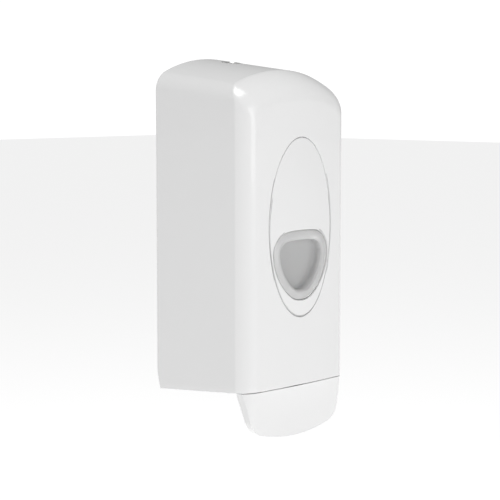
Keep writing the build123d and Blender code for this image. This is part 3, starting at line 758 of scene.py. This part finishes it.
    def lock_seat(self, strip: np.ndarray) -> tuple[np.ndarray, np.ndarray, np.ndarray]:
        """Counterbored hole for the lock, let into a rectangle of the crown's grid.

        Rings shrink from the rectangle's border to the counterbore along straight rays and keep to
        the crown's arc. Two more rings make the counterbore's wall and floor.

        Args:
            strip: Grid of points of the sides and crown.

        Returns:
            Mask of the grid's quads that stay, vertices of the seat, and its quads, numbered as if
            its vertices followed the grid's.
        """
        f = self.form
        number = np.arange(strip.shape[0] * strip.shape[1]).reshape(strip.shape[:2])
        middle = strip.shape[1] // 2
        off = np.abs(strip[:, middle, 1] - self.lock_y)
        near = np.flatnonzero(off < self.lock_reach)
        across = np.flatnonzero(np.abs(strip[0, :, 0]) < self.lock_reach)
        r0, r1, c0, c1 = near[0] - 1, near[-1] + 1, across[0] - 1, across[-1] + 1
        border = np.concatenate(
            [number[r0, c0:c1], number[r0:r1, c1], number[r1, c1:c0:-1], number[r1:r0:-1, c0]]
        )
        kept = np.ones((strip.shape[0] - 1, strip.shape[1] - 1), bool)
        kept[r0:r1, c0:c1] = False

        centre, axes = self.lock_frame()
        local = (strip.reshape(-1, 3)[border] - centre) @ axes.T
        angle, reach = np.arctan2(local[:, 1], local[:, 0]), np.hypot(local[:, 0], local[:, 1])
        rings = []
        for share in (0.3, 0.6, 0.85, 1.0):
            r = reach + (self.lock_bores[0] - reach) * share
            x = r * np.cos(angle)
            drop = (f.top_r - np.sqrt(f.top_r**2 - x**2)) * axes[1, 1]
            rings.append(np.stack([x, r * np.sin(angle), -drop], axis=1))
        for r in self.lock_bores:
            flat = np.full(angle.size, -self.lock_sink)
            rings.append(np.stack([r * np.cos(angle), r * np.sin(angle), flat], axis=1))
        seat = np.vstack(rings) @ axes + centre
        loops = np.vstack([border, np.arange(len(seat)).reshape(-1, border.size) + number.size])
        after = np.roll(loops, -1, axis=1)
        faces = np.stack([loops[:-1], after[:-1], after[1:], loops[1:]], axis=2).reshape(-1, 4)
        return kept.ravel(), seat, faces

    def thin_seat(self, piece: bpy.types.Object) -> None:
        """Marks the seat's floor, where the wall is thinner by the counterbore's depth.

        Args:
            piece: The cover's shell.
        """
        place = np.empty(len(piece.data.vertices) * 3, np.float32)
        piece.data.vertices.foreach_get("co", place)
        centre, axes = self.lock_frame()
        local = (place.reshape(-1, 3) - centre) @ axes.T
        floor = np.hypot(local[:, 0], local[:, 1]) < self.lock_bores[0] + 0.1 * MM
        floor &= local[:, 2] < -0.6 * self.lock_sink
        group = piece.vertex_groups.new(name="wall")
        group.add(np.flatnonzero(~floor).tolist(), 1.0, "REPLACE")
        group.add(np.flatnonzero(floor).tolist(), 1 - self.lock_sink / self.form.wall, "REPLACE")
        piece.modifiers["wall"].vertex_group = group.name

    def build(self) -> bpy.types.Object:
        """Makes the cover, rides it and stands it in for its CAD node.

        Returns:
            The cover's shell.
        """
        piece = make_piece("cover_shell", *self.skin())
        thicken(piece, self.form.wall)
        self.thin_seat(piece)
        round_edges(piece, 0.35 * MM, 50)
        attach(piece, "cover")
        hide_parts("front_cover")
        return piece

    def bosses(self) -> bpy.types.Object:
        """Moulded bosses inside the cover: two for the hinge pins and two for the lever's carrier.

        Each is the same stepped profile turned about its axis, across for a hinge boss, and lengthwise,
        slimmer and longer, for a carrier boss.

        Returns:
            The four bosses in one piece.
        """
        outer, (bore, floor) = self.hinge_boss_r, self.pin_hole
        profile = np.array([[outer, 0], [outer, self.hinge_boss_h], [bore, self.hinge_boss_h], [bore, floor]])
        r, d = profile[:, 0][:, None], profile[:, 1][:, None]
        sunk = 0.2 * MM
        parts, faces, count = [], [], 0
        turn = np.linspace(0, 2 * math.pi, self.boss_steps, endpoint=False)
        for side in (-1, 1):
            x = side * (self.form.half - self.form.wall + sunk - d) + 0 * turn
            hinge_boss = np.stack(
                [x, self.hinge[0] + r * np.cos(turn), self.hinge[1] + r * np.sin(turn)], axis=2
            )
            slim = r * self.carrier_width
            y = self.form.front + self.form.wall + d * self.carrier_length + 0 * turn
            across, height = side * self.carrier[0], self.carrier[1]
            carrier_boss = np.stack([across + slim * np.cos(turn), y, height + slim * np.sin(turn)], axis=2)
            for ring in (hinge_boss, carrier_boss):
                parts.append(ring.reshape(-1, 3))
                faces.append(grid_faces(len(profile), turn.size, close_cols=True, close_rows=True) + count)
                count += ring.shape[0] * ring.shape[1]
        piece = make_piece("cover_bosses", np.vstack(parts), np.vstack(faces))
        round_edges(piece, 0.2 * MM, 50, 2)
        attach(piece, "cover")
        return piece


WINDOW_POINTS = [
    (0.0, 4.9), (11.0, 4.6), (19.0, 3.2), (25.0, -0.6), (28.6, -6.2), (29.6, -12.8), (28.0, -21.5),
    (24.4, -29.5), (19.2, -36.5), (13.0, -42.0), (6.8, -45.2), (0.0, -46.1),
]


@dataclass
class Fascia:
    """Domed oval panel and the sight window set in it."""

    form: HousingForm
    oval: Oval
    proud: float = 1.0 * MM
    plan_r: float = 249 * MM
    vertical_r: float = 2145 * MM
    gap: float = 0.25 * MM
    seat: float = 2.0 * MM
    window_z: float = -20 * MM
    window_gap: float = 0.3 * MM
    ring: float = 7.2 * MM
    recess: float = 6.2 * MM
    pane: float = 1.8 * MM
    crown: float = 0.35 * MM
    ring_back: float = 1.9 * MM
    count: int = 240
    points: list[tuple[float, float]] = field(default_factory=lambda: WINDOW_POINTS)

    def dome(self, x: np.ndarray, z: np.ndarray) -> np.ndarray:
        """Y of the panel's domed face: an arc in plan plus a much flatter arc in height."""
        plan = self.plan_r - np.sqrt(self.plan_r**2 - x**2)
        return self.form.front - self.proud + plan + (z - self.oval.z) ** 2 / (2 * self.vertical_r)

    def window_loop(self) -> np.ndarray:
        """Outline of the sight window, a rounded shield, mirrored from its right half."""
        left = [(-x, z) for x, z in reversed(self.points[1:-1])]
        return closed_curve(self.points + left, self.count) * MM

    def panel(self) -> bpy.types.Object:
        """Panel between the window and the oval's edge, a closed band with a domed face.

        Each column runs from a point of the window's outline straight outwards to the oval.

        Returns:
            The panel.
        """
        loop = self.window_loop()
        loop = loop - inward_normals(loop) * self.window_gap
        centre = np.array([0.0, self.window_z])
        ray = loop - centre
        ray /= np.linalg.norm(ray, axis=1, keepdims=True)
        a, b = self.oval.a - self.gap, self.oval.b - self.gap
        u = ray / np.array([a, b])
        o = (centre - np.array([0.0, self.oval.z])) / np.array([a, b])
        uu, uo, oo = (u * u).sum(1), (u * o).sum(1), (o * o).sum()
        reach = (-uo + np.sqrt(uo**2 - uu * (oo - 1))) / uu
        rim = centre + ray * reach[:, None]
        rows = []
        for share in np.concatenate([[0, 0.02], np.linspace(0.08, 0.92, 16), [0.98, 1]]):
            p = loop + (rim - loop) * share
            rows.append(np.stack([p[:, 0], self.dome(p[:, 0], p[:, 1]), p[:, 1]], axis=1))
        for share in (1.0, 0.5, 0.0):
            p = loop + (rim - loop) * share
            y = self.form.front_y(p[:, 0]) + self.seat - 0.02 * MM
            rows.append(np.stack([p[:, 0], y, p[:, 1]], axis=1))
        faces = grid_faces(len(rows), self.count, close_cols=True, close_rows=True)
        piece = make_piece("fascia_dome", np.vstack(rows), faces)
        round_edges(piece, 0.45 * MM, 50)
        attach(piece, "cover")
        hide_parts("fascia_panel")
        return piece

    def window(self) -> bpy.types.Object:
        """Clear moulding: a ring flush with the panel and a pane set back behind it.

        The profile runs from the pane's centre out over its front, up the recess, across the ring,
        round its edge and back down behind to the pane's centre again.

        Returns:
            The moulding.
        """
        loop = self.window_loop()
        inner = inward_normals(loop)
        ring, back = self.ring, self.recess + self.pane
        wall = self.ring - self.pane
        sunk = self.crown
        profile = [
            (ring, self.recess), (ring - 0.15 * MM, self.recess * 0.5), (ring - 0.3 * MM, 1.0 * MM),
            (ring - 0.45 * MM, 0.75 * MM), (ring - 0.8 * MM, 0.75 * MM), (ring - 0.95 * MM, 0.2 * MM),
            (ring - 1.4 * MM, 0.0), (ring * 0.55, 0.3 * sunk), (ring * 0.3, 0.8 * sunk),
            (0.8 * MM, sunk), (0.3 * MM, sunk + 0.15 * MM), (0.0, sunk + 0.6 * MM),
            (0.0, self.ring_back), (wall, self.ring_back), (wall, back),
        ]
        rows = []
        centre = np.array([0.0, self.window_z])
        for inset, deep in profile:
            p = loop + inner * inset
            rows.append(np.stack([p[:, 0], self.dome(p[:, 0], p[:, 1]) + deep, p[:, 1]], axis=1))
        front_caps = self.cap(loop + inner * ring, centre, self.recess)
        back_caps = self.cap(loop + inner * wall, centre, back)
        rows = front_caps[::-1] + rows + back_caps
        faces = grid_faces(len(rows), self.count, close_cols=True)
        piece = make_piece("sight_window_pane", np.vstack(rows), faces, 2e-6)
        self.shade_depth(piece)
        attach(piece, "cover")
        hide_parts("sight_window")
        return piece

    def shade_depth(self, piece: bpy.types.Object) -> None:
        """Stores how far each vertex lies down the recess, 0 on the ring and 1 on the pane, which sets the painted
        shade on the pane.

        Args:
            piece: The window's moulding.
        """
        count = len(piece.data.vertices)
        place = np.empty(count * 3, np.float32)
        piece.data.vertices.foreach_get("co", place)
        x, y, z = place.reshape(-1, 3).T
        deep = smoothstep(0.8 * self.recess, 0.97 * self.recess, y - self.dome(x, z))
        # The depth is stored so that shade can be painted on the pane.
        recess_shade = piece.data.attributes.new("recess_shade", "FLOAT", "POINT")
        recess_shade.data.foreach_set("value", deep.astype(np.float32))

    def cap(self, loop: np.ndarray, centre: np.ndarray, deep: float) -> list[np.ndarray]:
        """Rows that close a loop to its centre, each nearer the centre than the last.

        Args:
            loop: The outline.
            centre: The point that it shrinks to.
            deep: Depth of the rows behind the domed face.

        Returns:
            The rows of points.
        """
        rows = []
        for share in (0.97, 0.9, 0.7, 0.5, 0.3, 0.12, 0.0):
            p = centre + (loop - centre) * share
            rows.append(np.stack([p[:, 0], self.dome(p[:, 0], p[:, 1]) + deep, p[:, 1]], axis=1))
        return rows


@dataclass
class Lever:
    """Push lever: a tapering, slightly dished face with flanges, and two arms to the pivot and the pump."""

    form: HousingForm
    low: float
    corner: float = -140.5 * MM
    taper: float = 0.245
    step_in: float = 1.8 * MM
    gap: float = 0.7 * MM
    corner_r: float = 9.5 * MM
    rear: float = -79.5 * MM
    rear_slant: float = 0.17
    least_flange: float = 0.8 * MM
    dish: float = 0.8 * MM
    lean: float = math.tan(math.radians(6.8))
    wall: float = 2.4 * MM
    hub: tuple[float, float] = (-78 * MM, -100 * MM)
    hub_r: float = 5.0 * MM
    pad: tuple[float, float] = (-47 * MM, -106.5 * MM)
    pad_r: float = 3.0 * MM
    arm_span: tuple[float, float] = (9 * MM, 13 * MM)
    web_half: float = 9.5 * MM
    across: int = 80
    corner_steps: int = 14
    down: int = 30

    def face_points(self, xi: np.ndarray, eta: np.ndarray, inset: float) -> np.ndarray:
        """Points of the face, or of its inner side when inset is the wall.

        Across it xi runs from side to side and eta from the seam to the lower edge. The lower edge
        is an arc whose ends turn up into the sides, which lean in as they fall. The depth is the
        housing's own front and rounding, leaning back below the seam, with a shallow dish that dies
        out at the edges.

        Args:
            xi: Place across, -1 to 1.
            eta: Place down, 0 to 1.
            inset: How far inside the outer face the points lie.

        Returns:
            Array of points, shaped as xi with a last axis of 3.
        """
        f = self.form
        turn = 1 - self.corner_r / f.half
        past = np.clip((np.abs(xi) - turn) / (1 - turn), 0, 1)
        turn_up = self.corner_r * (1 - np.sqrt(1 - past**2))
        foot = self.low + (self.corner - self.low) * xi**2 + turn_up + inset
        top = f.seam_z - self.gap
        z = top + eta * (foot - top)
        half = f.half - self.step_in - self.taper * (f.seam_z - z)
        y = f.front_y(xi * half) + f.side_depth(f.half - np.abs(xi) * half) + self.lean * (f.seam_z - z)
        z = z - f.seam_slope * (y - f.front) * (1 - eta)
        dish = self.dish * np.sin(math.pi * np.clip(eta, 0, 1) ** 0.8) * (1 - xi**4) ** 2
        return np.stack([xi * (half - inset), y + dish + inset, z], axis=-1)

    def side(self, inset: float) -> tuple[np.ndarray, np.ndarray]:
        """One side of the wall: the face, an eased crease and the flange behind it.

        Args:
            inset: 0 for the outer side, the wall for the inner one.

        Returns:
            The face's grid of points and the flange's rows of points.
        """
        turn = 1 - self.corner_r / self.form.half
        arc = turn + (1 - turn) * np.sin(np.linspace(0, math.pi / 2, self.corner_steps))
        flat = np.linspace(-turn, turn, self.across)
        xi = np.concatenate([-arc[::-1], flat[1:-1], arc])
        eta = np.concatenate([[0, 0.02], np.linspace(0.06, 0.94, self.down), [0.975, 1]])
        grid = self.face_points(*np.meshgrid(xi, eta), inset)
        edge = np.vstack([grid[:-1, 0], grid[-1, :-1], grid[::-1, -1]])
        rear = self.rear - self.rear_slant * (self.form.seam_z - edge[:, 2])
        rear = np.maximum(rear, edge[:, 1] + self.least_flange)
        rows = []
        for share in (0.0, 0.08, 0.35, 0.65, 0.92, 1.0):
            row = edge.copy()
            row[:, 1] = edge[:, 1] + (rear - edge[:, 1]) * share
            rows.append(row)
        return grid, np.stack(rows)

    def skin(self) -> tuple[np.ndarray, np.ndarray]:
        """Closed wall: outer and inner side, joined along the seam edge and the flange's rear edge.

        Returns:
            Vertices and quads.
        """
        verts, faces, borders, count = [], [], [], 0
        for inset in (0.0, self.wall):
            grid, rows = self.side(inset)
            if inset:
                rows[-1, :, 1] = outer_rear
            outer_rear = rows[-1, :, 1]
            top = np.arange(grid.shape[1]) + count
            faces.append(grid_faces(*grid.shape[:2]) + count)
            count += grid.shape[0] * grid.shape[1]
            faces.append(grid_faces(*rows.shape[:2]) + count)
            number = np.arange(rows.shape[0] * rows.shape[1]).reshape(rows.shape[:2]) + count
            borders.append(np.concatenate([top[::-1], number[:, 0], number[-1, 1:-1], number[::-1, -1]]))
            count += number.size
            verts += [grid.reshape(-1, 3), rows.reshape(-1, 3)]
        near, far = borders
        faces.append(np.stack([near, np.roll(near, -1), np.roll(far, -1), far], axis=1))
        return np.vstack(verts), np.vstack(faces)

    def face(self) -> bpy.types.Object:
        """Makes the lever's face and rides it on the lever.

        Returns:
            The face with its flanges.
        """
        piece = make_piece("push_lever_face", *self.skin(), 5e-6)
        piece.data.set_sharp_from_angle(angle=math.radians(38))
        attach(piece, "lever")
        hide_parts("push_lever")
        return piece

    def arm_profile(self) -> np.ndarray:
        """Side view of an arm: from the face up round the pivot's hub and back to the pump's collar.

        Returns:
            Y and Z round the outline, with the hub and the pad as arcs.
        """
        over = np.radians(np.linspace(205, -40, 22))
        tip = np.radians(np.linspace(95, -95, 14))
        root = np.array([[-90.5, -136.0], [-92.9, -115.5]]) * MM
        belly = np.array([[-68.0, -111.0], [-82.0, -124.0]]) * MM
        return np.vstack(
            [
                root,
                np.array(self.hub) + self.hub_r * np.stack([np.cos(over), np.sin(over)], axis=1),
                np.array(self.pad) + self.pad_r * np.stack([np.cos(tip), np.sin(tip)], axis=1),
                belly,
            ]
        )

    def arms(self) -> bpy.types.Object:
        """Makes the two arms and the web that ties them together.

        Returns:
            Arms and web in one piece.
        """
        web = np.array([[-91.4, -128.0], [-92.9, -116.0], [-80.5, -106.5], [-76.5, -109.5]]) * MM
        pieces = [(self.arm_profile(), *(side * x for x in self.arm_span)) for side in (-1, 1)]
        pieces.append((web, -self.web_half, self.web_half))
        verts, faces, count = [], [], 0
        for outline, near, far in pieces:
            n = len(outline)
            for x in (near, far):
                verts.append(np.column_stack([np.full(n, x), outline]))
            faces += (grid_faces(2, n, close_cols=True) + count).tolist()
            faces += [list(range(count, count + n)), list(range(count + n, count + 2 * n))]
            count += 2 * n
        piece = make_piece("push_lever_arms", np.vstack(verts), faces)
        round_edges(piece, 0.35 * MM, 50, 2)
        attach(piece, "lever")
        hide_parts("push_lever")
        return piece


@dataclass
class PumpSpring:
    """Return spring of the pump, a coil of round wire with closed ends."""

    joint: dict
    radius: float = 8.6 * MM
    wire: float = 0.6 * MM
    turns: float = 7.0
    dead: float = 0.9
    steps: int = 420
    sides: int = 12

    def build(self) -> bpy.types.Object:
        """Carries a circle of wire along a helix.

        The helix climbs slowly over its first and last turn and evenly between, so the ends lie
        flat on the collar and under the pump.

        Returns:
            The coil.
        """
        low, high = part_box("pump_spring")
        centre_y = (low[1] + high[1]) / 2
        t = np.linspace(0, 1, self.steps)
        turn = 2 * math.pi * self.turns * t
        ease = self.dead / self.turns
        climb = np.interp(t, [0, ease, 1 - ease, 1], [0, 0.07, 0.93, 1])
        z = low[2] + self.wire + climb * (high[2] - low[2] - 2 * self.wire)
        line = np.stack([self.radius * np.cos(turn), centre_y + self.radius * np.sin(turn), z], axis=1)
        ahead = np.gradient(line, axis=0)
        ahead /= np.linalg.norm(ahead, axis=1, keepdims=True)
        out = np.stack([np.cos(turn), np.sin(turn), 0 * turn], axis=1)
        up = np.cross(ahead, out)
        ring = np.linspace(0, 2 * math.pi, self.sides, endpoint=False)
        taper = np.clip(np.minimum(t, 1 - t) * self.steps / 1.5, 0.001, 1)[:, None, None]
        tube = line[:, None, :] + self.wire * taper * (
            np.cos(ring)[None, :, None] * out[:, None, :] + np.sin(ring)[None, :, None] * up[:, None, :]
        )
        faces = grid_faces(self.steps, self.sides, close_cols=True)
        piece = make_piece("pump_coil", tube.reshape(-1, 3), faces, 3e-6)
        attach(piece, "back")
        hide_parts("pump_spring")
        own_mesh(piece)
        return piece


# ------------------------------------------------------------------ studio
@dataclass(frozen=True)
class Lamp:
    """Square soft light: where it hangs, the point it faces, its side and its power in watts."""

    name: str
    place: tuple[float, float, float]
    aim: tuple[float, float, float]
    size: float
    power: float


LAMPS = (
    Lamp("key", (-0.42, -1.88, 0.5), (0, -0.05, 0), 1.2, 9.9),
    Lamp("fill_left", (-1.8, -0.1, 0.6), (0, -0.05, 0), 1.2, 0.3),
    Lamp("overhead", (-0.25, -0.05, 1.55), (0, -0.05, 0.1), 0.8, 11.5),
)


@dataclass
class Studio:
    """Pale floor, soft lights and the camera.

    Attributes:
        floor_z: Height of the floor.
        floor_half: Half the side of the floor.
        floor_lines: Rows of vertices across the floor.
        floor_glow: Strength of the floor's own light.
        world_fill: Light that the world throws on the object.
        backdrop: Brightness of the world as the camera sees it.
        eye: Place of the camera.
        look: Direction that the camera faces.
        lens: Focal length in millimetres, on a 36 mm sensor.
    """

    floor_z: float = -0.42
    floor_half: float = 12.0
    floor_lines: int = 9
    floor_glow: float = 0.6
    world_fill: float = 0.31
    backdrop: float = 1.05
    eye: tuple[float, float, float] = (-0.8659, -0.8447, 0.1083)
    look: tuple[float, float, float] = (0.73015, 0.67555, -0.10251)
    lens: float = 113.4

    def floor(self) -> None:
        """Lays a wide pale floor."""
        axis = np.linspace(-self.floor_half, self.floor_half, self.floor_lines)
        x, y = np.meshgrid(axis, axis)
        verts = np.stack([x, y, np.full_like(x, self.floor_z)], axis=-1).reshape(-1, 3)
        piece = make_piece("studio_floor", verts, grid_faces(self.floor_lines, self.floor_lines))
        material = bpy.data.materials.new("pale_floor")
        material.use_nodes = True
        shader = material.node_tree.nodes["Principled BSDF"]
        shader.inputs["Base Color"].default_value = (0.9, 0.9, 0.9, 1)
        shader.inputs["Roughness"].default_value = 0.9
        shader.inputs["Emission Color"].default_value = (1, 1, 1, 1)
        shader.inputs["Emission Strength"].default_value = self.floor_glow
        piece.data.materials.append(material)
        piece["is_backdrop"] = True

    def light(self, lamp: Lamp) -> None:
        """Hangs a light.

        Args:
            lamp: The light to hang.
        """
        data = bpy.data.lights.new(lamp.name, "AREA")
        data.shape, data.size, data.energy = "SQUARE", lamp.size, lamp.power
        hung = bpy.data.objects.new(lamp.name, data)
        bpy.context.scene.collection.objects.link(hung)
        hung.location = lamp.place
        hung.rotation_euler = (Vector(lamp.aim) - Vector(lamp.place)).to_track_quat("-Z", "Y").to_euler()

    def lights(self) -> None:
        """World fill, a broad key in front, a weak one on the left and a soft box overhead."""
        for lamp in LAMPS:
            self.light(lamp)
        world = bpy.data.worlds.new("studio")
        bpy.context.scene.world = world
        world.use_nodes = True
        nodes, links = world.node_tree.nodes, world.node_tree.links
        backdrop = nodes["Background"]
        backdrop.inputs["Color"].default_value = (1, 1, 1, 1)
        seen = nodes.new("ShaderNodeLightPath")
        strength = nodes.new("ShaderNodeMapRange")
        strength.inputs["To Min"].default_value = self.world_fill
        strength.inputs["To Max"].default_value = self.backdrop
        links.new(seen.outputs["Is Camera Ray"], strength.inputs["Value"])
        links.new(strength.outputs["Result"], backdrop.inputs["Strength"])

    def camera(self) -> None:
        """Sets the camera at the object's viewing angle."""
        data = bpy.data.cameras.new("camera")
        data.lens, data.sensor_width = self.lens, 36.0
        data.clip_start, data.clip_end = 0.01, 60.0
        eye = bpy.data.objects.new("camera", data)
        bpy.context.scene.collection.objects.link(eye)
        eye.location = self.eye
        eye.rotation_euler = Vector(self.look).to_track_quat("-Z", "Y").to_euler()
        bpy.context.scene.camera = eye
        bpy.context.scene.view_settings.view_transform = "Standard"


def dress_frame(frame: dict, shop: Paintshop) -> None:
    """Paints every carried-over CAD node with the finish of its material slot.

    Args:
        shop: Where the finishes are made.
    """
    slots = {part["node"]: part["material_slot"] for part in frame["record"]["subparts"]}
    for name, node in frame["nodes"].items():
        shop.paint(node, slots[name])


def main(frame: dict) -> None:
    """Builds the sub-assemblies in order and dresses them.
    """
    low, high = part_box("front_cover")
    form = HousingForm(half=float(high[0]), front=float(low[1]), apex=float(high[2]))
    oval = Oval()
    shop = Paintshop()
    dress_frame(frame, shop)
    cover = Cover(form, oval)
    fascia = Fascia(form, oval)
    lever = Lever(form, low=float(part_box("push_lever")[0][2]))
    joints = {joint["name"]: joint for joint in frame["joints"]}
    spring = PumpSpring(joints["pump_slide"])
    made = [
        (cover.build(), "white_abs"),
        (cover.bosses(), "white_abs"),
        (fascia.panel(), "white_abs"),
        (fascia.window(), "clear_pane"),
        (lever.face(), "white_abs"),
        (lever.arms(), "white_abs"),
        (spring.build(), "spring_steel"),
    ]
    for piece, slot in made:
        shop.paint(piece, slot)
        log.info("built %s with %d vertices", piece.name, len(piece.data.vertices))
    studio = Studio()
    studio.floor()
    studio.lights()
    studio.camera()


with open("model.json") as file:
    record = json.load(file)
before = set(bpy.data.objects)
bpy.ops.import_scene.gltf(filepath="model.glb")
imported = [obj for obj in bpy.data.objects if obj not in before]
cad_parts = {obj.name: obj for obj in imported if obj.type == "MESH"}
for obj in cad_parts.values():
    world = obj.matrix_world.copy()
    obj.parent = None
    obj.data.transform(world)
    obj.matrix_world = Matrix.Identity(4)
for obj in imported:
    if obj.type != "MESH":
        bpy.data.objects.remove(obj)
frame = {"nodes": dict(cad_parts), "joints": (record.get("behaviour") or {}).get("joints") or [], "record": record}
cad_box = [corner.tolist() if hasattr(corner, "tolist") else list(corner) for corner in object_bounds()]

if __name__ == "__main__":
    logging.basicConfig(level=logging.INFO)
    main(frame)
    looks_box = [corner.tolist() if hasattr(corner, "tolist") else list(corner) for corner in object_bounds()]
